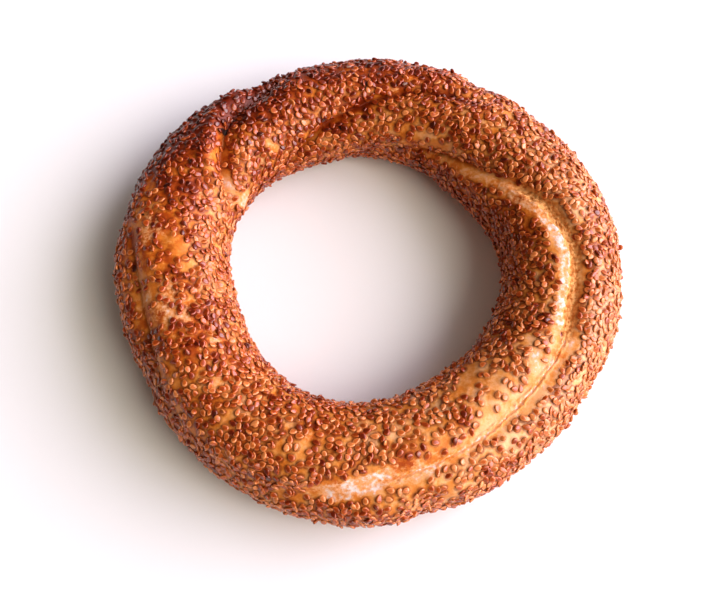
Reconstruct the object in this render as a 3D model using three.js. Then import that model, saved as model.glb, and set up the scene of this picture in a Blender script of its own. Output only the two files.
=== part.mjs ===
// A sesame ring bagel: two strands of dough twisted together, closed into a ring and baked as one piece.
// Millimetres, +Z up. The ring lies flat, with its origin in the middle of its footprint, on the surface
// that it rests on. +X runs along its longest side.
//
// A point of the skin has two angles, both in degrees: one round the ring, from +X towards +Y, and one
// round the dough's section, from 0 on the outside, over 90 on top, to 180 on the inside.

import * as THREE from 'three';
import { ParametricGeometry } from 'three/addons/geometries/ParametricGeometry.js';
import { mergeVertices } from 'three/addons/utils/BufferGeometryUtils.js';

// Driving dimensions, in millimetres.
const RING_RADIUS = 68; // from the middle of the hole to the middle of the dough
const HALF_WIDTH = 19.4; // of the dough's section, side to side
const HEIGHT_TO_WIDTH = 0.9; // the section is a little flatter than round
const BASE_CUT = 1.7; // how much the tray has pressed off the section's underside

// Facets round the ring and round the section.
const STEPS_ROUND_RING = 108;
const STEPS_ROUND_SECTION = 30;

// The ring was shaped by hand: slow waves in its path and in its width, each with its number of crests,
// its height in millimetres and the angle of one crest.
const PATH_WAVES = [
  { crests: 2, height: 0.6, at: -42 },
  { crests: 3, height: 1.3, at: 19 },
  { crests: 4, height: 0.6, at: -17 },
  { crests: 5, height: 0.4, at: 8 },
];
const WIDTH_WAVES = [
  { crests: 1, height: 0.9, at: -30 },
  { crests: 2, height: 0.8, at: 14 },
  { crests: 3, height: 0.4, at: 42 },
];

// Where the strands meet, the skin sinks into a valley. Each seam's path pairs the angle round the ring
// with the angle round the section. depth and halfWidth are the valley's, and fade is how many degrees
// of the ring it takes to deepen from nothing at either end.
const SEAMS = [
  {
    // the long seam, from the inside at the back, along the top on the right, to the outside on the left
    depth: 2.4,
    halfWidth: 4.6,
    fade: 22,
    path: [
      [-192, 42],
      [-172, 47],
      [-158, 45],
      [-138, 26],
      [-122, 18],
      [-104, 32],
      [-84, 56],
      [-62, 66],
      [-42, 71],
      [-14, 85],
      [15, 100],
      [34, 127],
      [56, 152],
      [80, 178],
      [104, 205],
    ],
  },
  {
    // the short seam, crossing the top at the back
    depth: 2.7,
    halfWidth: 4.4,
    fade: 24,
    path: [
      [10, -52],
      [35, 0],
      [63, 67],
      [88, 107],
      [112, 148],
      [136, 204],
    ],
  },
  {
    // the crease where the ring was closed
    depth: 3.4,
    halfWidth: 4.0,
    fade: 12,
    path: [
      [104, 0],
      [118, 46],
      [136, 86],
      [149, 130],
      [162, 188],
    ],
  },
];

const DEGREE = Math.PI / 180;

function waves(list, angle) {
  let sum = 0;
  for (const wave of list) {
    sum += wave.height * Math.cos(wave.crests * (angle - wave.at) * DEGREE);
  }
  return sum;
}

// A seam as a function: how deep it sinks the skin at a pair of angles.
function makeSeam({ path, depth, halfWidth, fade }) {
  const starts = path.map((point) => point[0]);
  const heights = path.map((point) => point[1]);
  const line = new THREE.CubicInterpolant(starts, heights, 1);
  const first = starts[0];
  const last = starts[starts.length - 1];
  const at = (angle) => line.evaluate(angle)[0];
  return (ringAngle, sectionAngle, ringScale, sectionScale) => {
    if (ringAngle <= first || ringAngle >= last) {
      return 0;
    }
    const rise = (at(Math.min(ringAngle + 1, last)) - at(Math.max(ringAngle - 1, first))) / 2;
    const turned = THREE.MathUtils.euclideanModulo(sectionAngle - at(ringAngle) + 180, 360) - 180;
    const slope = (rise * sectionScale) / ringScale;
    const distance = (turned * sectionScale) / Math.hypot(1, slope);
    const opening =
      THREE.MathUtils.smoothstep(ringAngle, first, first + fade) *
      THREE.MathUtils.smoothstep(last - ringAngle, 0, fade);
    return depth * opening * Math.exp(-((distance / halfWidth) ** 2));
  };
}

const SINKS = SEAMS.map(makeSeam);

// How far the seams sink the skin there. A seam's path may run past half a turn either way.
function sunkBy(ringAngle, sectionAngle, halfWidth) {
  const ringScale = RING_RADIUS * DEGREE;
  const sectionScale = halfWidth * DEGREE;
  let sum = 0;
  for (const sink of SINKS) {
    for (const turn of [-360, 0]) {
      sum += sink(ringAngle + turn, sectionAngle, ringScale, sectionScale);
    }
  }
  return sum;
}

// One point of the skin. u runs round the ring and v round the section, both from 0 to 1.
function skinPoint(u, v, target) {
  const ringAngle = u * 360;
  const sectionAngle = v * 360 - 90;
  const halfWidth = HALF_WIDTH + waves(WIDTH_WAVES, ringAngle);
  const halfHeight = halfWidth * HEIGHT_TO_WIDTH;
  const scale = 1 - sunkBy(ringAngle, sectionAngle, halfWidth) / halfWidth;
  const out = halfWidth * scale * Math.cos(sectionAngle * DEGREE);
  const up = halfHeight * scale * Math.sin(sectionAngle * DEGREE);
  const radius = RING_RADIUS + waves(PATH_WAVES, ringAngle) + out;
  target.set(
    radius * Math.cos(ringAngle * DEGREE),
    radius * Math.sin(ringAngle * DEGREE),
    Math.max(0, HALF_WIDTH * HEIGHT_TO_WIDTH - BASE_CUT + up),
  );
}

// Closes the skin on itself and moves the middle of its footprint to the origin.
function ringGeometry() {
  const skin = new ParametricGeometry(skinPoint, STEPS_ROUND_RING, STEPS_ROUND_SECTION);
  skin.deleteAttribute('uv');
  skin.deleteAttribute('normal');
  const closed = mergeVertices(skin);
  closed.computeBoundingBox();
  const middle = closed.boundingBox.getCenter(new THREE.Vector3());
  closed.translate(-middle.x, -middle.y, 0);
  closed.computeVertexNormals();
  return closed;
}

function doughRing() {
  const crust = new THREE.MeshStandardMaterial({ color: 0xb4622a, roughness: 0.45, metalness: 0 });
  const mesh = new THREE.Mesh(ringGeometry(), crust);
  mesh.name = 'dough_ring';
  return mesh;
}

const bagel = new THREE.Group();
bagel.add(doughRing());

export default bagel;
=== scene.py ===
"""A twisted sesame ring bagel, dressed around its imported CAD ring.

The dough is one fine mesh that replaces the plain CAD solid. Thousands of sesame seeds, each its own
closed body, are pressed into it. Lengths are in millimetres until a mesh is made, and angles are in
degrees. The camera and the floor are set in metres. A point of the skin has two angles: one round the
ring, from +X towards +Y, and one round the dough's section, from 0 on the outside, over 90 on top, to
180 on the inside.
"""

import math

import bpy
import numpy as np
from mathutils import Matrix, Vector


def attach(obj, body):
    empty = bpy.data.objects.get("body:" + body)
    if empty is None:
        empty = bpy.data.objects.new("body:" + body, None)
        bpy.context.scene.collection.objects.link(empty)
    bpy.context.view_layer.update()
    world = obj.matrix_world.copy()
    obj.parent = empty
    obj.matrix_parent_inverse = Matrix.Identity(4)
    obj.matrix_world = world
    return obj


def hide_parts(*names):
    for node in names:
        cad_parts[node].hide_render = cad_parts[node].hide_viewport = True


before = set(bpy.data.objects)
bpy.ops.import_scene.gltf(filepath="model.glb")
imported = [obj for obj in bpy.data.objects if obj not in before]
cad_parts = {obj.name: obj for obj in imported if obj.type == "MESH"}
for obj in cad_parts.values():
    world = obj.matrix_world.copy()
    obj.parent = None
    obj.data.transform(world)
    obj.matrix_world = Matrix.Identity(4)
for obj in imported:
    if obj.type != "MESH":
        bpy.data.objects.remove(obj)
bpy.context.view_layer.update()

MM = 0.001
DEGREE = math.pi / 180
RANDOM = np.random.default_rng(20)

# ---------------------------------------------------------------------------------------------------
# The ring's shape, as in the CAD
# ---------------------------------------------------------------------------------------------------

RING_RADIUS = 68.0
HALF_WIDTH = 19.4
HEIGHT_TO_WIDTH = 0.9
BASE_CUT = 1.7
AXIS_HEIGHT = HALF_WIDTH * HEIGHT_TO_WIDTH - BASE_CUT

# Each wave: its number of crests round the ring, its height and the angle of one crest.
PATH_WAVES = [(2, 0.6, -42), (3, 1.3, 19), (4, 0.6, -17), (5, 0.4, 8)]
WIDTH_WAVES = [(1, 0.9, -30), (2, 0.8, 14), (3, 0.4, 42)]


def waves(table, ring):
    """The sum of a table's waves at angles round the ring."""
    return sum(height * np.cos(crests * (ring - at) * DEGREE) for crests, height, at in table)


def half_width(ring):
    """Half the width of the dough's section at angles round the ring."""
    return HALF_WIDTH + waves(WIDTH_WAVES, ring)


def ring_point(ring, section, lift):
    """The point of the skin at a pair of angles, raised by lift from the plain section."""
    half = half_width(ring)
    out = (half + lift) * np.cos(section * DEGREE)
    up = (half + lift) * HEIGHT_TO_WIDTH * np.sin(section * DEGREE)
    radius = RING_RADIUS + waves(PATH_WAVES, ring) + out
    height = np.maximum(0.0, AXIS_HEIGHT + up)
    return np.stack([radius * np.cos(ring * DEGREE), radius * np.sin(ring * DEGREE), height], -1)


# ---------------------------------------------------------------------------------------------------
# Small maths
# ---------------------------------------------------------------------------------------------------


def bell(x, width):
    """1 at 0, falling off smoothly to 0.37 at width."""
    return np.exp(-((x / width) ** 2))


def step(x, start, end):
    """0 up to start, eased to 1 at end."""
    t = np.clip((x - start) / (end - start), 0.0, 1.0)
    return t * t * (3 - 2 * t)


def window(x, start, end, fade):
    """1 from start to end, fading to 0 over fade outside them."""
    return step(x, start - fade, start) * (1 - step(x, end, end + fade))


def half_turn(angle):
    """The same angle, between -180 and 180."""
    return (angle + 180.0) % 360.0 - 180.0


def cliff(x, steep, gentle):
    """A valley at 0, with a steep wall on the negative side and a gentle one on the other."""
    return np.where(x < 0, bell(x, steep), bell(x, gentle))


def corner_value(i, j, k, seed):
    """A repeatable random number from -1 to 1 for each corner of a lattice."""
    h = i * 374761393 + j * 668265263 + k * 1440662683 + seed * 974634777
    h = (h ^ (h >> 13)) * 1274126177
    h = (h ^ (h >> 16)) & 0xFFFFFF
    return h / 0x7FFFFF - 1.0


def noise(points, size, seed, octaves=1):
    """Smooth random values from about -1 to 1, with lumps about as large as size."""
    total = np.zeros(len(points))
    share = 1.0
    for octave in range(octaves):
        p = points / size * 2.0**octave + 1000.0
        cell = np.floor(p).astype(np.int64)
        t = p - cell
        t = t * t * (3 - 2 * t)
        value = 0.0
        for corner in range(8):
            dx, dy, dz = corner & 1, corner >> 1 & 1, corner >> 2 & 1
            weight = (
                np.where(dx, t[:, 0], 1 - t[:, 0])
                * np.where(dy, t[:, 1], 1 - t[:, 1])
                * np.where(dz, t[:, 2], 1 - t[:, 2])
            )
            i, j, k = cell[:, 0] + dx, cell[:, 1] + dy, cell[:, 2] + dz
            value += weight * corner_value(i, j, k, seed + octave)
        total += share * value
        share *= 0.5
    return total


# ---------------------------------------------------------------------------------------------------
# Seams, where the two strands of dough meet
# ---------------------------------------------------------------------------------------------------


class Seam:
    """A valley along a path of (ring angle, section angle) points."""

    def __init__(self, depth, width, fade, path):
        self.depth = depth
        self.width = width
        self.fade = fade
        self.ring = np.array([point[0] for point in path], float)
        self.section = np.array([point[1] for point in path], float)
        self.slope = np.gradient(self.section, self.ring)

    def locate(self, ring, section):
        """Where points lie by the seam: how far along it in degrees of the ring, how far across it in
        mm (positive towards the inside of the ring), and how open it is there, from 0 to 1."""
        first, last = self.ring[0], self.ring[-1]
        station = first + (ring - first) % 360.0
        inside = np.minimum(station, last)
        i = np.clip(np.searchsorted(self.ring, inside) - 1, 0, len(self.ring) - 2)
        span = self.ring[i + 1] - self.ring[i]
        t = (inside - self.ring[i]) / span
        line = (
            (2 * t**3 - 3 * t**2 + 1) * self.section[i]
            + (t**3 - 2 * t**2 + t) * span * self.slope[i]
            + (3 * t**2 - 2 * t**3) * self.section[i + 1]
            + (t**3 - t**2) * span * self.slope[i + 1]
        )
        rise = self.slope[i] * (1 - t) + self.slope[i + 1] * t
        scale = half_width(ring) * DEGREE
        across = half_turn(section - line) * scale
        across = across / np.hypot(1, rise * scale / (RING_RADIUS * DEGREE))
        opening = step(station, first, first + self.fade) * (1 - step(station, last - self.fade, last))
        return station, across, opening


LONG_SEAM = Seam(
    2.4,
    4.6,
    22,
    [
        (-192, 42),
        (-172, 47),
        (-158, 45),
        (-138, 26),
        (-122, 18),
        (-104, 32),
        (-84, 56),
        (-62, 66),
        (-42, 71),
        (-24, 74),
        (-14, 80),
        (4, 87),
        (15, 97),
        (34, 127),
        (56, 152),
        (80, 178),
        (104, 205),
    ],
)
SHORT_SEAM = Seam(
    2.7,
    4.4,
    24,
    [(10, -52), (35, 2), (50, 46), (58, 66), (68, 81), (80, 94), (90, 110), (112, 148), (136, 204)],
)
JOINT_SEAM = Seam(3.4, 4.0, 12, [(104, 0), (118, 46), (136, 86), (149, 130), (162, 188)])

# Dents and lumps that the hands left: ring angle, section angle, half length along the ring and half
# length round the section, in mm, and height.
LUMPS = [
    (60, 22, 9, 11, -2.0),
    (75, 20, 7, 10, -0.9),
    (120, 30, 8, 12, -3.0),
    (-150, 12, 8, 10, -2.0),
    (-75, 8, 8, 10, -2.0),
    (0, 5, 9, 12, -0.9),
    (165, 12, 8, 10, -0.8),
    (-30, 5, 9, 10, -1.1),
    (90, 25, 8, 10, 0.8),
    (-90, 10, 9, 10, 0.9),
    (180, 15, 9, 10, 0.8),
    (180, 172, 12, 9, -0.9),
    (120, 172, 9, 8, 0.2),
    (-60, 172, 10, 8, 0.8),
    (8, 172, 14, 8, -1.2),
    (55, 170, 14, 8, -0.5),
    (129, 139, 2.6, 3.4, 0.9),
    (150, 84, 7, 9, 1.0),
    (133, 60, 5, 6, -0.6),
    (112, 74, 9, 7, 0.9),
    (118, 112, 5, 5, 0.6),
    (96, 92, 9, 5, 0.5),
    (165, 44, 5, 5, 0.6),
    (178, 99, 3.8, 3.8, 0.7),
]
# Patches of skin that the seeds missed: ring angle, section angle, half lengths, and how pale it is.
BARE_PATCHES = [
    (-167, 64, 2.8, 2.4, 0.6),
    (-161, 78, 2.8, 2.0, 0.6),
    (-158, 92, 2.2, 2.2, 0.65),
    (-146, 111, 1.3, 3.4, 0.6),
    (-145, 89, 2.0, 1.8, 0.35),
    (-135, 90, 2.0, 2.6, 0.35),
    (-105, 95, 1.3, 2.4, 0.35),
    (175, 73, 2.2, 2.0, 0.5),
    (160, 116, 2.0, 1.8, 0.6),
    (149, 141, 1.9, 4.0, 0.7),
    (148, 174, 3.4, 5.6, 0.75),
    (129, 139, 1.8, 3.0, 0.4),
    (100, 124, 1.8, 1.4, 0.6),
    (82, 91, 2.2, 1.2, 0.3),
    (63, 146, 3.4, 1.1, 0.3),
    (66, 157, 5.0, 1.2, 0.3),
    (52, 93, 3.0, 1.4, 0.2),
    (48, 69, 4.6, 1.2, 0.1),
    (16, 40, 1.4, 4.0, 0.5),
    (-20, 22, 3.0, 2.4, 0.25),
    (-30, 39, 2.2, 2.2, 0.4),
    (-35, 86, 5.0, 3.0, 0.6),
    (-31, 102, 3.4, 1.6, 0.5),
    (-47, 98, 1.8, 4.6, 0.4),
    (-57, 95, 2.2, 2.0, 0.35),
    (-52, 125, 2.4, 2.6, 0.3),
    (-167, 47, 4.6, 1.6, 0.3),
    (179, 100, 4.2, 4.2, 0.12),
    (-178, 66, 2.6, 3.4, 0.0),
    (159, 53, 3.0, 3.0, 0.0),
    (77, 76, 1.6, 2.0, 0.0),
    (-112, 118, 1.4, 1.8, 0.2),
]
# Where the dough stretched late between the seeds and stayed pale: angles, half lengths and how pale.
PALE_REGIONS = [
    (173, 69, 8, 5, 0.52),
    (-161, 84, 11, 8, 0.5),
    (148, 150, 5, 7, 0.6),
    (129, 138, 3, 4, 0.4),
    (-52, 106, 12, 6, 0.45),
    (-35, 88, 8, 5, 0.6),
    (-118, 100, 14, 6, 0.3),
    (56, 136, 14, 3.5, 0.24),
    (66, 153, 12, 2.5, 0.4),
]
# Charred specks: ring angle, section angle and half lengths.
BURNT_SPOTS = [
    (170, 59, 0.9, 1.0),
    (-152, 67, 1.0, 1.0),
    (-153, 146, 1.5, 1.5),
    (100, 141, 1.3, 1.6),
    (91, 90, 1.0, 1.4),
    (136, 86, 1.4, 1.5),
]
# Regions where the seeds lie thinly: angles, half lengths and how thinly.
THIN_REGIONS = [
    (-166, 66, 20, 11, 0.46),
    (-140, 68, 30, 16, 0.22),
    (-108, 88, 24, 18, 0.14),
    (178, 72, 18, 13, 0.5),
    (-76, 94, 18, 12, 0.28),
    (-52, 105, 14, 12, 0.4),
    (-70, 42, 36, 9, 0.25),
    (155, 90, 16, 14, 0.2),
    (76, 112, 14, 8, 0.16),
    (62, 144, 26, 8, 0.24),
    (96, 62, 26, 7, 0.2),
]
# Where it is browner, and in the next table paler: angles, half lengths and by how much. Partly this is
# the oven's work; partly it is painted shade on the sides away from the lamps and in the short seam's
# groove, and paler paint standing in for light on the sides the lamps face.
BROWNED_AND_SHADED_REGIONS = [
    (125, 40, 46, 18, 0.52),
    (146, 50, 22, 14, 0.62),
    (-158, 86, 16, 9, 0.08),
    (85, 50, 34, 13, 0.26),
    (178, 76, 12, 9, 0.16),
    (-79, 74, 6, 4, 0.35),
    (-60, 92, 4, 3, 0.3),
    (-28, 66, 9, 4, 0.3),
    (160, 100, 9, 6, 0.2),
    (16, 164, 50, 16, 0.15),
    (64, 80, 12, 2.6, 0.45),
    (92, 114, 8, 4, 0.42),
    (104, 138, 8, 4, 0.42),
]
# Paler regions: partly lighter baking, partly painted light on the sides that face the lamps.
BLOND_AND_LIT_REGIONS = [
    (178, 150, 40, 14, 0.26),
    (179, 100, 5, 5, 0.24),
    (-170, 14, 40, 12, 0.05),
    (58, 142, 22, 7, 0.18),
    (-165, 70, 20, 9, 0.03),
    (100, 150, 34, 10, 0.12),
    (-22, 20, 54, 18, 0.36),
    (28, 60, 40, 16, 0.17),
    (-60, 40, 30, 10, 0.16),
    (-46, 90, 34, 22, 0.1),
]


def spread(ring, section, at_ring, at_section, along, across):
    """1 at the middle of a patch, 0.37 at its edge, 0 well outside it."""
    radius = RING_RADIUS + half_width(ring) * math.cos(at_section * DEGREE)
    u = half_turn(ring - at_ring) * DEGREE * radius
    v = half_turn(section - at_section) * DEGREE * half_width(ring)
    return np.exp(-(((u / along) ** 2 + (v / across) ** 2) ** 1.5))


def strongest(ring, section, table):
    """At each point, the strongest of a table's patches."""
    total = np.zeros(len(ring))
    for row in table:
        total = np.maximum(total, row[4] * spread(ring, section, *row[:4]))
    return total


class Skin:
    """Everything about the skin at many pairs of angles at once: its points and what covers them.

    bare is where no seeds lie, pale where the dough stretched late, crumb where it tore open, burnt where
    it is charred and cover how thickly seeds lie. The crease mask is where it is folded in or overhung,
    and darkens the crust there as painted shade. The brownness is partly from the oven and partly painted
    shade where the lamps don't reach, with paler paint where they fall.
    """

    def __init__(self, ring, section):
        self.ring = ring
        self.section = section
        plain = ring_point(ring, section, 0.0)
        self.broad = noise(plain, 7.0, 11, 2)
        self.fine = noise(plain, 2.0, 23, 2)
        self.grain = noise(plain, 0.8, 29, 2)
        self.lift = 0.5 * noise(plain, 20.0, 31) + 0.34 * noise(plain, 7.0, 37) + 0.1 * self.fine
        self.bare = np.zeros(len(ring))
        self.pale = np.zeros(len(ring))
        self.crumb = np.zeros(len(ring))
        self.crease_shade = np.zeros(len(ring))
        self.add_long_seam()
        self.add_short_seam()
        self.add_joint()
        self.add_patches()
        self.toast_and_shade = self.browning_and_shade(plain)
        self.cover = self.seed_cover(plain)
        self.points = ring_point(ring, section, self.lift)

    def mark(self, name, amount):
        setattr(self, name, np.maximum(getattr(self, name), amount))

    def add_long_seam(self):
        station, exact, opening = LONG_SEAM.locate(self.ring, self.section)
        across = exact + 0.3 * self.broad
        ragged = exact + 0.9 * self.broad + 0.5 * self.fine
        self.lift -= LONG_SEAM.depth * opening * bell(across, LONG_SEAM.width)
        self.fold_at_the_back(station, across, ragged)
        self.tear_on_the_right(station, across, ragged)
        self.crack_at_the_front(station, across, ragged)
        self.crease_on_the_left(station, across, ragged)

    def fold_at_the_back(self, station, across, ragged):
        fold = window(station, 26, 60, 14)
        back = step(station, 38, 58)
        self.lift -= (0.9 + 0.6 * back) * fold * cliff(across + 0.4, 0.8, 1.7)
        self.lift += 0.6 * fold * bell(across - 3.0, 2.0)
        self.mark("bare", fold * (1 - 0.45 * back) * window(ragged, -0.4, 4.4 - 2.2 * back, 0.8))
        self.mark("pale", fold * (0.52 - 0.22 * back) * bell(ragged - 2.6, 2.4))
        self.mark("crease_shade", fold * (0.35 + 0.65 * back) * cliff(across + 0.5, 0.7, 1.3))

    def tear_on_the_right(self, station, across, ragged):
        torn = window(station, -21, 24, 7)
        upper = step(station, 2, 16)
        from_edge = across - 2.4 + 0.8 * self.broad + 0.55 * self.fine + 0.12 * self.grain
        floor = torn * step(-from_edge, -0.1, 0.8) * step(across, -2.8, -0.6)
        self.lift -= floor * (1.0 - 0.35 * self.fine - 0.45 * self.grain)
        rise = step(from_edge, -0.4, 0.5) * np.exp(-np.maximum(from_edge, 0) / 3.0)
        self.lift += torn * rise * (0.65 + 0.2 * self.fine + 0.2 * self.grain)
        self.mark("bare", torn * window(from_edge, -4.6, 3.8 + 1.4 * upper + 1.5 * self.broad, 0.9))
        self.mark("crumb", torn * window(from_edge, -5.0, -0.1, 0.7) * step(across, -3.0, -1.4))
        cream = (1 - 0.4 * step(station, 12, 22)) * (0.78 + 0.24 * self.fine + 0.2 * self.grain)
        self.mark("pale", torn * window(from_edge, -0.3, 2.9, 2.6) * cream)
        self.mark("pale", 0.5 * torn * upper * window(ragged, 2.0, 6.5, 1.8))
        self.mark("crease_shade", torn * 0.4 * bell(across + 2.6, 0.9))

    def crack_at_the_front(self, station, across, ragged):
        crack = window(station, -84, -25, 4)
        line = across + 0.35 * self.fine + 0.2 * self.grain
        self.lift -= crack * 0.3 * bell(line, 0.4) * (1 + 0.9 * self.fine)
        self.lift += crack * 0.35 * (bell(line - 0.8, 0.5) + bell(line + 0.8, 0.5)) * (1 + self.grain)
        edge = 3.0 + 1.5 * self.broad
        self.mark("bare", crack * window(ragged, -edge, edge, 0.8))
        self.mark("pale", crack * 0.42 * window(ragged, -2.4, 3.0, 2.0) * (1 + 0.5 * self.fine))
        self.mark("pale", crack * 0.85 * bell(line, 0.6) * step(self.grain, -0.5, 0.3))

        # further on, the stretched dough opens into one pale patch, on the inner side of the crack
        end = station + 3.0 * self.broad + 2.0 * self.fine
        size = window(end, -99, -84, 8)
        inner = ragged - 0.5 * self.grain
        self.mark("bare", size * window(inner, -2.0, 5.2 * size, 0.8))
        self.mark("pale", size * window(inner, -1.4, 4.0 * size, 1.8) * (0.68 + 0.26 * self.fine))
        self.lift += size * window(inner, -1.0, 3.6, 1.0) * (0.1 * self.grain - 0.25)

    def crease_on_the_left(self, station, across, ragged):
        crease = window(station, -178, -158, 12)
        self.lift -= crease * 0.6 * cliff(across, 0.8, 1.8)
        self.lift += crease * 0.3 * bell(across + 2.0, 1.6)
        self.lift += 1.3 * window(station, -142, -122, 18) * bell(across, 4.2)
        self.mark("bare", crease * 0.85 * window(ragged, 0.2, 2.0, 0.7))
        self.mark("pale", crease * 0.5 * bell(ragged - 1.2, 0.8))
        self.mark("crease_shade", crease * 0.35 * bell(across, 0.6))

    def add_short_seam(self):
        station, exact, opening = SHORT_SEAM.locate(self.ring, self.section)
        across = exact + 0.3 * self.broad
        ragged = exact + 0.7 * self.broad + 0.5 * self.fine
        self.lift -= SHORT_SEAM.depth * opening * bell(across, SHORT_SEAM.width)
        fold = window(station, 62, 120, 12)
        self.lift -= 1.8 * fold * cliff(across + 0.2, 0.6, 2.2)
        self.lift += 0.8 * fold * bell(across + 2.8, 1.8)
        self.mark("bare", window(station, 84, 112, 8) * window(ragged, -0.4, 1.7, 0.7))
        self.mark("crease_shade", fold * cliff(across, 0.6, 2.0))

    def add_joint(self):
        station, exact, opening = JOINT_SEAM.locate(self.ring, self.section)
        across = exact + 0.4 * self.broad
        ragged = exact + 0.8 * self.broad + 0.5 * self.fine
        self.lift -= JOINT_SEAM.depth * opening * cliff(across, 3.0, 5.0)
        overlap = window(station, 118, 150, 12)
        self.lift += 1.5 * overlap * bell(across + 4.6, 3.4)
        self.lift -= 1.4 * overlap * cliff(across, 1.0, 2.4)
        self.mark("bare", 0.6 * window(station, 140, 150, 6) * window(ragged, 0.0, 1.8, 0.8))
        self.mark("crease_shade", 0.9 * overlap * cliff(across, 1.2, 2.4))

    def add_patches(self):
        for row in LUMPS:
            self.lift += row[4] * spread(self.ring, self.section, *row[:4])
        ring = self.ring + 1.3 * self.broad + 0.8 * self.fine
        section = self.section + 3.5 * self.broad - 3.0 * self.fine
        for row in BARE_PATCHES:
            patch = spread(ring, section, *row[:4])
            self.mark("bare", step(patch, 0.15, 0.6))
            self.mark("pale", row[4] * patch)
        self.mark("pale", strongest(ring, section, PALE_REGIONS) * (0.8 + 0.4 * self.fine))
        burnt = [row + (1.0,) for row in BURNT_SPOTS]
        self.burnt = strongest(self.ring + 0.6 * self.fine, self.section + 2.0 * self.grain, burnt)

    def browning_and_shade(self, plain):
        """How brown the skin and its seeds are, from 0 to 1: partly from the oven, partly painted shade
        and light.
        """
        brown = strongest(self.ring, self.section, BROWNED_AND_SHADED_REGIONS)
        blond = strongest(self.ring, self.section, BLOND_AND_LIT_REGIONS)
        # Darker towards the upper left: partly deeper baking there, partly painted shade on the side away
        # from the lamps.
        drift = 0.11 * np.cos((self.ring - 150) * DEGREE)
        return np.clip(0.38 + drift + brown - blond + 0.13 * noise(plain, 8.0, 43, 2), 0, 1)

    def seed_cover(self, plain):
        """How thickly the seeds lie, from 0 to 1."""
        thin = strongest(self.ring, self.section, THIN_REGIONS)
        patchy = 0.13 * noise(plain, 6.0, 41, 2)
        below = 0.45 * step(np.abs(half_turn(self.section - 90)), 140, 160)
        return np.clip(0.93 - thin + patchy - below, 0.0, 1.0) * (1 - np.clip(1.2 * self.bare, 0, 1))


# ---------------------------------------------------------------------------------------------------
# Meshes
# ---------------------------------------------------------------------------------------------------


def new_object(name, points, faces):
    """An object from an array of points in mm and an array of faces of one size."""
    mesh = bpy.data.meshes.new(name)
    size = faces.shape[1]
    mesh.vertices.add(len(points))
    mesh.vertices.foreach_set("co", (points * MM).ravel())
    mesh.loops.add(faces.size)
    mesh.loops.foreach_set("vertex_index", faces.ravel().astype(np.int32))
    mesh.polygons.add(len(faces))
    mesh.polygons.foreach_set("loop_start", np.arange(0, faces.size, size, dtype=np.int32))
    mesh.update(calc_edges=True)
    mesh.shade_smooth()
    piece = bpy.data.objects.new(name, mesh)
    bpy.context.scene.collection.objects.link(piece)
    return piece


def add_attribute(piece, name, values):
    layer = piece.data.attributes.new(name, "FLOAT", "POINT")
    layer.data.foreach_set("value", np.ascontiguousarray(values, np.float32))


def add_uv(piece, coordinates):
    layer = piece.data.uv_layers.new(name="OFBake")
    layer.data.foreach_set("uv", np.ascontiguousarray(coordinates, np.float32).ravel())


# The dough's mesh has columns round the ring and rows round its section. The rows follow the long seam
# and crowd together along it, where the detail is finest.
COLUMNS = 1080
ROWS = 260
CROWDING = 0.6
# How many columns and rows a seed's foot reaches, and how far the dough swells round it.
REACH_COLUMNS = 6
REACH_ROWS = 9
FOOT_SWELLING = 0.16


def row_offset(turn):
    """How far round the section from the long seam a row is; turn runs from -0.5 to 0.5."""
    return 360 * (turn - CROWDING / (2 * math.pi) * np.sin(2 * math.pi * turn))


def seam_line(ring):
    """The long seam's section angle, carried on straight where the seam has ended."""
    return np.interp(ring, LONG_SEAM.ring, LONG_SEAM.section, period=360)


def dough_angles():
    ring = np.arange(COLUMNS) * 360.0 / COLUMNS
    offset = row_offset(np.arange(ROWS) / ROWS - 0.5)
    ring, offset = np.meshgrid(ring, offset, indexing="ij")
    return ring.ravel(), (seam_line(ring) + offset).ravel()


def nearest_vertex(ring, section):
    """The column and row of the dough's vertex nearest to a pair of angles."""
    turns = np.linspace(-0.5, 0.5, 2001)
    offset = half_turn(section - seam_line(ring))
    turn = np.interp(offset, row_offset(turns), turns)
    column = np.rint((ring % 360) / 360 * COLUMNS).astype(int) % COLUMNS
    return column, np.rint((turn + 0.5) * ROWS).astype(int) % ROWS


def closeness(skin, seeds):
    """For each vertex of the dough, how near it is to a seed: 1 at its middle, 0 at SEED_REACH from it."""
    column, row = nearest_vertex(seeds.ring, seeds.section)
    shortest = np.full(COLUMNS * ROWS, SEED_REACH)
    for column_step in range(-REACH_COLUMNS, REACH_COLUMNS + 1):
        for row_step in range(-REACH_ROWS, REACH_ROWS + 1):
            index = (column + column_step) % COLUMNS * ROWS + (row + row_step) % ROWS
            distance = np.linalg.norm(skin.points[index] - seeds.foot, axis=1)
            np.minimum.at(shortest, index, distance)
    return 1 - shortest / SEED_REACH


def make_dough(seeds):
    skin = Skin(*dough_angles())
    near = closeness(skin, seeds)
    lift = skin.lift + FOOT_SWELLING * step(near, 0.0, 0.6)
    skin.points = ring_point(skin.ring, skin.section, lift)
    i, j = np.meshgrid(np.arange(COLUMNS), np.arange(ROWS), indexing="ij")
    corners = [(0, 0), (1, 0), (1, 1), (0, 1)]
    faces = [(i + a) % COLUMNS * ROWS + (j + b) % ROWS for a, b in corners]
    u = np.stack([(i + a) / COLUMNS for a, b in corners], -1)
    v = np.stack([(j + b) / ROWS for a, b in corners], -1)
    middle = footprint_middle(skin)
    piece = new_object("dough_ring_crust", skin.points - middle, np.stack(faces, -1).reshape(-1, 4))
    add_uv(piece, np.stack([u, v], -1))
    for name in ("bare", "pale", "crumb", "crease_shade", "burnt", "cover", "toast_and_shade"):
        add_attribute(piece, name, getattr(skin, name))
    add_attribute(piece, "near", near)
    return piece, middle


# ---------------------------------------------------------------------------------------------------
# Sesame seeds
# ---------------------------------------------------------------------------------------------------

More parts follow.
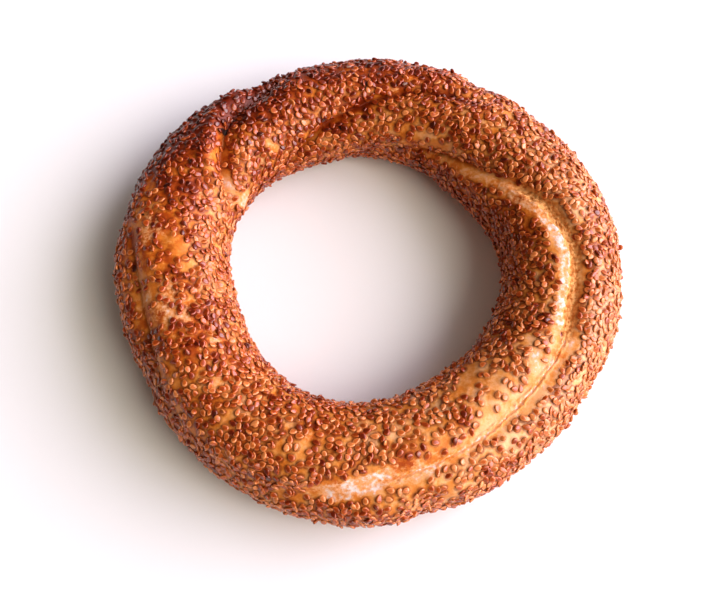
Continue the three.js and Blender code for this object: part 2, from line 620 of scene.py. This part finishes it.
SEED_LENGTH = 2.9
SEED_WIDTH = 1.94
SEED_THICKNESS = 1.04
SEED_REACH = 2.4
SEED_SIDES = 12
# Rings of a seed's mesh, from its top to its underside: share of the outline, and height as a share of
# half the thickness.
SEED_RINGS = [(0.46, 0.86), (0.72, 0.76), (0.9, 0.5), (1.0, -0.1), (0.74, -0.65)]
SEED_TOP = 0.88
SEED_UNDERSIDE = -0.85
SEED_SHADES = ["blond", "golden", "amber", "chestnut", "brown", "dark"]
SEED_TRIES = 110000
SEED_SPACING = 1.82
LOOSE_SPACING = 3.4
GRID_CELL = 3.0
# No seed is stuck on lower than this, and no part of one comes nearer to the floor than this.
LOWEST_FOOT = 0.9
LOWEST_POINT = 0.02
# The share of the seeds that lie crooked, and the share toasted more than their neighbours.
CROOKED_SHARE = 0.1
SCORCHED_SHARE = 0.03


def seed_template():
    """One seed lying flat, blunt at -X and pointed at +X: points, triangles and each point's share."""
    turn = np.arange(SEED_SIDES) * 2 * math.pi / SEED_SIDES
    x = np.cos(turn)
    taper = 1 - 0.28 * x - 0.36 * np.clip(x, 0, 1) ** 3
    outline = np.stack([x * SEED_LENGTH / 2, np.sin(turn) * taper * SEED_WIDTH / 2], -1)
    half = SEED_THICKNESS / 2
    points = [(0, 0, SEED_TOP * half)]
    shares = [0.0]
    for share, height in SEED_RINGS:
        points += [(a * share, b * share, height * half) for a, b in outline]
        shares += [share] * SEED_SIDES
    points.append((0, 0, SEED_UNDERSIDE * half))
    shares.append(0.0)
    triangles = []
    for k in range(SEED_SIDES):
        n = (k + 1) % SEED_SIDES
        triangles.append((0, 1 + k, 1 + n))
        for level in range(len(SEED_RINGS) - 1):
            upper = 1 + level * SEED_SIDES
            lower = upper + SEED_SIDES
            triangles.append((upper + k, lower + k, lower + n))
            triangles.append((upper + k, lower + n, upper + n))
        last = 1 + (len(SEED_RINGS) - 1) * SEED_SIDES
        triangles.append((last + n, last + k, len(points) - 1))
    return np.array(points, float), np.array(triangles), np.array(shares)


def scatter_angles():
    """Pairs of angles spread evenly over the ring's skin, in random order."""
    ring = RANDOM.uniform(0, 360, SEED_TRIES)
    section = RANDOM.uniform(-180, 180, SEED_TRIES)
    share = (RING_RADIUS + HALF_WIDTH * np.cos(section * DEGREE)) / (RING_RADIUS + HALF_WIDTH)
    keep = RANDOM.uniform(0, 1, SEED_TRIES) < share
    return ring[keep], section[keep]


def spaced(points, gaps):
    """Which points, taken in order, keep their gap to the points kept before them.

    Only points in the same cell of a grid or in one that touches it are compared."""
    kept = []
    grid = {}
    keys = np.floor(points / GRID_CELL).astype(int).tolist()
    near = [(a, b, c) for a in (-1, 0, 1) for b in (-1, 0, 1) for c in (-1, 0, 1)]
    rows = points.tolist()
    for index, (key, gap) in enumerate(zip(keys, gaps.tolist())):
        x, y, z = rows[index]
        rivals = (
            rival for a, b, c in near for rival in grid.get((key[0] + a, key[1] + b, key[2] + c), ())
        )
        if all((px - x) ** 2 + (py - y) ** 2 + (pz - z) ** 2 >= gap * gap for px, py, pz in rivals):
            grid.setdefault(tuple(key), []).append((x, y, z))
            kept.append(index)
    return np.array(kept)


def normals_at(ring, section):
    """Outward unit normals of the skin, over about the length of a seed."""
    sides = [(0.9, 0), (-0.9, 0), (0, 3.0), (0, -3.0)]
    p = [Skin(ring + a, section + b).points for a, b in sides]
    return unit(np.cross(p[0] - p[1], p[2] - p[3]))


def unit(vectors):
    """The same directions, each with a length of 1."""
    return vectors / np.maximum(1e-9, np.linalg.norm(vectors, axis=1))[:, None]


class Seeds:
    """Where one layer of seeds lies and how each is turned, sized and toasted, with painted shade and
    light in its tone.
    """

    def __init__(self, spacing, least_cover, share, height, uneven, tilt):
        skin, kept = self.choose_places(spacing, least_cover, share)
        count = len(kept)
        normal = normals_at(self.ring, self.section)
        self.axes = self.choose_axes(normal, tilt)
        self.size = RANDOM.normal(1.0, 0.08, (count, 3)).clip(0.8, 1.2)
        sunk = 0.3 * (1 - skin.cover[kept])
        lift = height - sunk + np.abs(RANDOM.normal(0, uneven, count)).clip(0, 0.6)
        self.middle = self.foot + normal * lift[:, None]
        scorched = (RANDOM.uniform(0, 1, count) < SCORCHED_SHARE) * RANDOM.uniform(0.1, 0.5, count)
        toast_and_shade = 0.15 + 0.71 * skin.toast_and_shade[kept] + RANDOM.normal(-0.02, 0.12, count)
        self.toast_and_shade = np.clip(toast_and_shade + scorched, 0, 1)

    def choose_places(self, spacing, least_cover, share):
        """The places of the layer's seeds, wider apart where they lie thinly."""
        ring, section = scatter_angles()
        skin = Skin(ring, section)
        gaps = spacing * (1.0 + 0.2 * (1 - skin.cover)) * RANDOM.uniform(0.88, 1.22, len(ring))
        index = np.flatnonzero((skin.cover > least_cover) & (skin.points[:, 2] > LOWEST_FOOT))
        kept = index[spaced(skin.points[index], gaps[index])]
        chance = share * np.clip(0.04 + 1.1 * skin.cover[kept], 0, 1)
        kept = kept[RANDOM.uniform(0, 1, len(kept)) < chance]
        self.ring = ring[kept]
        self.section = section[kept]
        self.foot = skin.points[kept]
        return skin, kept

    def choose_axes(self, normal, tilt):
        """Each seed's long, cross and upward axes: near the skin's normal, in any heading."""
        count = len(normal)
        tilts = tilt * (1 + 1.6 * (RANDOM.uniform(0, 1, (count, 1)) < CROOKED_SHARE))
        up = unit(normal + tilts * RANDOM.normal(0, 1, (count, 3)))
        heading = RANDOM.normal(0, 1, (count, 3))
        long_axis = unit(heading - (heading * up).sum(1)[:, None] * up)
        return np.stack([long_axis, np.cross(up, long_axis), up], 1)


def join_layers(first, second):
    """The first layer with the second one's seeds added to it."""
    for name in ("ring", "section", "foot", "axes", "size", "middle", "toast_and_shade"):
        setattr(first, name, np.concatenate([getattr(first, name), getattr(second, name)]))
    return first


def scatter_seeds():
    """A full layer pressed into the dough, and a few more lying on it where it is thick."""
    pressed = Seeds(SEED_SPACING, least_cover=0.02, share=1.0, height=0.12, uneven=0.12, tilt=0.21)
    loose = Seeds(LOOSE_SPACING, least_cover=0.72, share=0.7, height=0.46, uneven=0.16, tilt=0.34)
    return join_layers(pressed, loose)


def seed_uv(triangles, count):
    """Each seed's own cell of the map, where it is laid out as a disc with its underside outermost."""
    radii = np.linspace(0.0, 0.48, len(SEED_RINGS) + 2)
    rings = np.arange(len(SEED_RINGS) * SEED_SIDES)
    level = np.concatenate([[0], 1 + rings // SEED_SIDES, [len(SEED_RINGS) + 1]])
    side = np.concatenate([[0.0], rings % SEED_SIDES, [0.0]])
    corner_side = side[triangles]
    ends = np.isin(triangles, (0, len(level) - 1))
    middle = [row[~end].mean() if np.ptp(row[~end]) < 6 else -0.5 for row, end in zip(corner_side, ends)]
    corner_side = np.where(ends, np.array(middle)[:, None], corner_side)
    angle = corner_side * 2 * math.pi / SEED_SIDES
    radius = radii[level[triangles]]
    disc = np.stack([radius * np.cos(angle), radius * np.sin(angle)], -1) + 0.5
    across = math.ceil(math.sqrt(count))
    corner = np.stack([np.arange(count) % across, np.arange(count) // across], -1)
    return (corner[:, None, None, :] + disc[None]) / across


def make_seeds(seeds, middle):
    """One piece for each tone of the seeds, from blond to dark."""
    template, triangles, shares = seed_template()
    along = template[:, 0] / SEED_LENGTH + 0.5
    order = np.argsort(seeds.toast_and_shade)
    pieces = []
    for shade, chosen in zip(SEED_SHADES, np.array_split(order, len(SEED_SHADES))):
        count = len(chosen)
        local = template[None] * seeds.size[chosen][:, None]
        points = np.einsum("nvk,nkc->nvc", local, seeds.axes[chosen]) + seeds.middle[chosen][:, None]
        points[..., 2] = np.maximum(points[..., 2], LOWEST_POINT)
        faces = triangles[None] + (np.arange(count) * len(template))[:, None, None]
        piece = new_object("sesame_" + shade, points.reshape(-1, 3) - middle, faces.reshape(-1, 3))
        add_uv(piece, seed_uv(triangles, count))
        add_attribute(piece, "toast_and_shade", np.repeat(seeds.toast_and_shade[chosen], len(template)))
        add_attribute(piece, "tint", np.repeat(RANDOM.uniform(0, 1, count), len(template)))
        add_attribute(piece, "share", np.tile(shares, count))
        add_attribute(piece, "tip", np.tile(along, count))
        pieces.append(piece)
    return pieces


# ---------------------------------------------------------------------------------------------------
# Materials
# ---------------------------------------------------------------------------------------------------


# The sockets of a Mix node that mixes colours.
MIX_FACTOR = 0
MIX_A = 6
MIX_B = 7
MIX_RESULT = 2


class Paint:
    """A material with one Principled shader and short ways to add nodes to it."""

    def __init__(self, name):
        self.material = bpy.data.materials.new(name)
        self.material.use_nodes = True
        self.tree = self.material.node_tree
        self.shader = self.tree.nodes["Principled BSDF"]

    def set(self, **values):
        for name, value in values.items():
            self.shader.inputs[name.replace("_", " ")].default_value = value

    def link(self, source, socket):
        self.tree.links.new(source, self.shader.inputs[socket])

    def feed(self, socket, value):
        if isinstance(value, bpy.types.NodeSocket):
            self.tree.links.new(value, socket)
        else:
            socket.default_value = value

    def attribute(self, name):
        node = self.tree.nodes.new("ShaderNodeAttribute")
        node.attribute_name = name
        return node.outputs["Fac"]

    def noise(self, size_mm, detail=3.0, roughness=0.5):
        place = self.tree.nodes.new("ShaderNodeTexCoord").outputs["Object"]
        node = self.tree.nodes.new("ShaderNodeTexNoise")
        node.inputs["Scale"].default_value = 1.0 / (size_mm * MM)
        node.inputs["Detail"].default_value = detail
        node.inputs["Roughness"].default_value = roughness
        self.tree.links.new(place, node.inputs["Vector"])
        return node.outputs["Fac"]

    def math(self, operation, a, b=0.0, clamp=False):
        node = self.tree.nodes.new("ShaderNodeMath")
        node.operation = operation
        node.use_clamp = clamp
        self.feed(node.inputs[0], a)
        self.feed(node.inputs[1], b)
        return node.outputs[0]

    def times(self, a, b):
        return self.math("MULTIPLY", a, b)

    def span(self, value, start, end, to_start=0.0, to_end=1.0):
        """value from start to end, eased, as a number from to_start to to_end."""
        node = self.tree.nodes.new("ShaderNodeMapRange")
        node.interpolation_type = "SMOOTHSTEP"
        for socket, item in zip(node.inputs, (value, start, end, to_start, to_end)):
            self.feed(socket, item)
        return node.outputs[0]

    def mix(self, factor, a, b):
        node = self.tree.nodes.new("ShaderNodeMix")
        node.data_type = "RGBA"
        self.feed(node.inputs[MIX_FACTOR], factor)
        self.feed(node.inputs[MIX_A], a)
        self.feed(node.inputs[MIX_B], b)
        return node.outputs[MIX_RESULT]

    def ramp(self, factor, stops):
        """Colours at places from 0 to 1, eased from one to the next."""
        node = self.tree.nodes.new("ShaderNodeValToRGB")
        elements = node.color_ramp.elements
        while len(elements) < len(stops):
            elements.new(0.5)
        for element, (place, color) in zip(elements, stops):
            element.position = place
            element.color = color
        self.tree.links.new(factor, node.inputs[0])
        return node.outputs[0]

    def bump(self, height, distance_mm, strength=1.0):
        node = self.tree.nodes.new("ShaderNodeBump")
        node.inputs["Distance"].default_value = distance_mm * MM
        node.inputs["Strength"].default_value = strength
        self.tree.links.new(height, node.inputs["Height"])
        return node.outputs["Normal"]


def srgb(red, green, blue):
    """A colour given as it looks on screen, from 0 to 255, in the linear values that shaders use."""
    channels = [c / 255 for c in (red, green, blue)]
    return tuple(c / 12.92 if c <= 0.04045 else ((c + 0.055) / 1.055) ** 2.4 for c in channels) + (1.0,)


CRUST_COLORS = [
    (0.05, srgb(232, 170, 112)),
    (0.26, srgb(218, 136, 60)),
    (0.46, srgb(204, 110, 30)),
    (0.68, srgb(164, 64, 4)),
    (0.95, srgb(100, 24, 0)),
]
SEED_COLORS = [
    (0.05, srgb(216, 128, 66)),
    (0.28, srgb(184, 86, 28)),
    (0.48, srgb(152, 55, 8)),
    (0.75, srgb(108, 26, 2)),
    (1.0, srgb(64, 12, 2)),
]
# A dark red-brown: glaze gathered round the seeds and the seeds' dark tips. It is also the colour used for
# painted shade in folds, between seeds and round each seed's outline.
GLAZE_AND_SHADE = srgb(98, 19, 0)
STRETCHED = srgb(228, 154, 94)
CREAM = srgb(226, 206, 190)
CRUMB = srgb(226, 160, 92)
PORE_SHADE = srgb(190, 114, 50)
BURNT = srgb(34, 10, 6)


def crust_paint():
    paint = Paint("crust")
    blotch = paint.noise(5.0, 6.0, 0.68)
    speckle = paint.noise(1.2, 3.0, 0.6)
    # The crust's tone follows how brown the skin is, which holds painted shade and light as well as the
    # oven's colour.
    brown = paint.math("ADD", paint.attribute("toast_and_shade"), paint.span(blotch, 0.36, 0.64, -0.13, 0.2))
    color = paint.ramp(brown, CRUST_COLORS)
    pale = paint.math("ADD", paint.attribute("pale"), paint.span(speckle, 0.3, 0.7, -0.34, 0.14))
    pale = paint.math("ADD", pale, paint.span(blotch, 0.4, 0.6, 0.08, -0.2))
    color = paint.mix(paint.span(pale, 0.05, 0.5), color, STRETCHED)
    color = paint.mix(paint.span(pale, 0.4, 0.95), color, CREAM)
    # The torn crumb's pores: darker where its bump sinks, as painted shade in the pits.
    pores = paint.noise(1.3, 2.0, 0.5)
    crumb = paint.mix(paint.span(pores, 0.38, 0.56), PORE_SHADE, CRUMB)
    color = paint.mix(paint.span(paint.attribute("crumb"), 0.2, 0.9), color, crumb)
    # Glaze gathered round each seed's foot, plus painted shade in the gaps between seeds, deeper where
    # they lie thickly.
    glaze_and_contact_shade = paint.span(paint.attribute("near"), 0.16, 0.52)
    glaze_and_contact_shade = paint.times(glaze_and_contact_shade, paint.span(blotch, 0.35, 0.6, 0.5, 0.84))
    glaze_and_contact_shade = paint.times(glaze_and_contact_shade, paint.span(paint.attribute("cover"), 0.35, 0.85, 0.4, 1.0))
    color = paint.mix(glaze_and_contact_shade, color, GLAZE_AND_SHADE)
    # Painted shade in the folds and under the overhanging edge of the tear, in the dark glaze brown.
    color = paint.mix(paint.times(paint.attribute("crease_shade"), 0.6), color, GLAZE_AND_SHADE)
    color = paint.mix(paint.span(paint.attribute("burnt"), 0.2, 0.7), color, BURNT)
    paint.link(color, "Base Color")
    rough = paint.span(speckle, 0.2, 0.8, 0.34, 0.52)
    rough = paint.math("ADD", rough, paint.times(paint.attribute("pale"), 0.55))
    rough = paint.math("ADD", rough, paint.times(paint.attribute("crumb"), 0.35), clamp=True)
    paint.link(rough, "Roughness")
    relief = paint.math("ADD", paint.noise(1.6, 6.0, 0.66), paint.times(pores, paint.attribute("crumb")))
    paint.link(paint.bump(relief, 0.5, 0.42), "Normal")
    paint.set(Specular_IOR_Level=0.36, Specular_Tint=(1.0, 0.74, 0.56, 1))
    return paint.material


def seed_paint():
    paint = Paint("sesame")
    tint = paint.span(paint.attribute("tint"), 0.0, 1.0, -0.17, 0.17)
    # A paler margin and darker middle on each seed: partly the seed coat's own paler margin, partly a
    # painted highlight on its raised border.
    rim_and_highlight = paint.span(paint.attribute("share"), 0.4, 0.8, 0.1, -0.14)
    # Each seed's tone carries the skin's painted shade and light as well as its own toasting.
    shade = paint.math("ADD", paint.math("ADD", paint.attribute("toast_and_shade"), tint), rim_and_highlight)
    color = paint.ramp(shade, SEED_COLORS)
    # Painted contact shade at the foot of each seed's outline, in the dark glaze brown.
    edge = paint.span(paint.attribute("share"), 0.93, 1.0)
    color = paint.mix(paint.times(edge, 0.85), color, GLAZE_AND_SHADE)
    tip = paint.span(paint.attribute("tip"), 0.84, 1.0)
    color = paint.mix(paint.times(tip, 0.6), color, GLAZE_AND_SHADE)
    paint.link(color, "Base Color")
    paint.set(Roughness=0.27, Specular_IOR_Level=0.85, Specular_Tint=(1.0, 0.72, 0.58, 1))
    return paint.material


# ---------------------------------------------------------------------------------------------------
# Stage, light and camera
# ---------------------------------------------------------------------------------------------------

FLOOR_SIZE = 40.0
# The studio's brightness, from straight away from the soft box (0) to its middle (1).
STUDIO_GLOW = [
    (0.0, (0.05, 0.035, 0.025, 1)),
    (0.72, (0.05, 0.04, 0.035, 1)),
    (0.86, (0.7, 0.66, 0.72, 1)),
    (0.97, (7.7, 7.6, 10.0, 1)),
]
BACKDROP = (1.0, 1.0, 1.0, 1)
SOFTBOX_AZIMUTH = 8
SOFTBOX_ELEVATION = 19
CAMERA_ELEVATION = 66.0
CAMERA_DISTANCE = 0.4068
CAMERA_LENS = 57.7
CAMERA_SENSOR = 36.0
CAMERA_TARGET = (-0.0025, -0.0084, 0.016)


def make_floor():
    bpy.ops.mesh.primitive_plane_add(size=FLOOR_SIZE, location=(0, 0, 0))
    floor = bpy.context.object
    floor.name = "floor"
    paint = Paint("floor")
    paint.set(Base_Color=(0.83, 0.79, 0.71, 1), Roughness=0.9)
    floor.data.materials.append(paint.material)


def direction(azimuth, elevation):
    """The unit vector towards an azimuth (from +X towards +Y) and an elevation, in degrees."""
    flat = math.cos(elevation * DEGREE)
    x = math.cos(azimuth * DEGREE) * flat
    y = math.sin(azimuth * DEGREE) * flat
    return Vector((x, y, math.sin(elevation * DEGREE)))


def add_sun(name, azimuth, elevation, strength, softness, color, shines=True):
    data = bpy.data.lights.new(name, "SUN")
    data.energy = strength
    data.angle = softness * DEGREE
    data.color = color
    light = bpy.data.objects.new(name, data)
    light.location = direction(azimuth, elevation)
    light.rotation_euler = light.location.to_track_quat("Z", "Y").to_euler()
    light.visible_glossy = shines
    bpy.context.scene.collection.objects.link(light)


def make_world():
    """A dim warm studio with one large soft box, whose brightness falls off smoothly round its middle.
    The camera itself sees a plain backdrop instead."""
    world = bpy.data.worlds.new("studio")
    world.use_nodes = True
    nodes = world.node_tree.nodes
    links = world.node_tree.links
    facing = nodes.new("ShaderNodeVectorMath")
    facing.operation = "DOT_PRODUCT"
    links.new(nodes.new("ShaderNodeTexCoord").outputs["Generated"], facing.inputs[0])
    facing.inputs[1].default_value = direction(SOFTBOX_AZIMUTH, SOFTBOX_ELEVATION)
    turned = nodes.new("ShaderNodeMapRange")
    turned.inputs["From Min"].default_value = -1.0
    links.new(facing.outputs["Value"], turned.inputs[0])
    glow = nodes.new("ShaderNodeValToRGB")
    glow.color_ramp.interpolation = "EASE"
    for _ in STUDIO_GLOW[2:]:
        glow.color_ramp.elements.new(0.5)
    for element, (place, color) in zip(glow.color_ramp.elements, STUDIO_GLOW):
        element.position = place
        element.color = color
    links.new(turned.outputs[0], glow.inputs[0])
    backdrop = nodes.new("ShaderNodeMix")
    backdrop.data_type = "RGBA"
    links.new(nodes.new("ShaderNodeLightPath").outputs["Is Camera Ray"], backdrop.inputs[MIX_FACTOR])
    links.new(glow.outputs[0], backdrop.inputs[MIX_A])
    backdrop.inputs[MIX_B].default_value = BACKDROP
    links.new(backdrop.outputs[MIX_RESULT], nodes["Background"].inputs["Color"])
    bpy.context.scene.world = world


def make_light():
    make_world()
    add_sun("key", -36, 44, 1.62, 36, (1.0, 0.96, 0.88))
    add_sun("fill", -90, 72, 0.42, 150, (1.0, 0.93, 0.86), shines=False)


def make_camera():
    data = bpy.data.cameras.new("camera")
    data.lens = CAMERA_LENS
    data.sensor_width = CAMERA_SENSOR
    camera = bpy.data.objects.new("camera", data)
    tilt = CAMERA_ELEVATION * DEGREE
    height = CAMERA_TARGET[2] + CAMERA_DISTANCE * math.sin(tilt)
    camera.location = (0, -CAMERA_DISTANCE * math.cos(tilt), height)
    camera.rotation_euler = (Vector(CAMERA_TARGET) - camera.location).to_track_quat("-Z", "Y").to_euler()
    bpy.context.scene.collection.objects.link(camera)
    bpy.context.scene.camera = camera


# ---------------------------------------------------------------------------------------------------
# The whole scene
# ---------------------------------------------------------------------------------------------------


def footprint_middle(skin):
    """The middle of the ring's footprint, which the CAD puts at the origin."""
    return (skin.points.min(0) + skin.points.max(0)) / 2 * (1, 1, 0)


def main():
    bpy.context.scene.view_settings.view_transform = "Standard"
    make_camera()
    make_light()
    make_floor()
    seeds = scatter_seeds()
    dough, middle = make_dough(seeds)
    dough.data.materials.append(crust_paint())
    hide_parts("dough_ring")
    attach(dough, "root")
    sesame = seed_paint()
    for piece in make_seeds(seeds, middle):
        piece.data.materials.append(sesame)
        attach(piece, "root")


main()
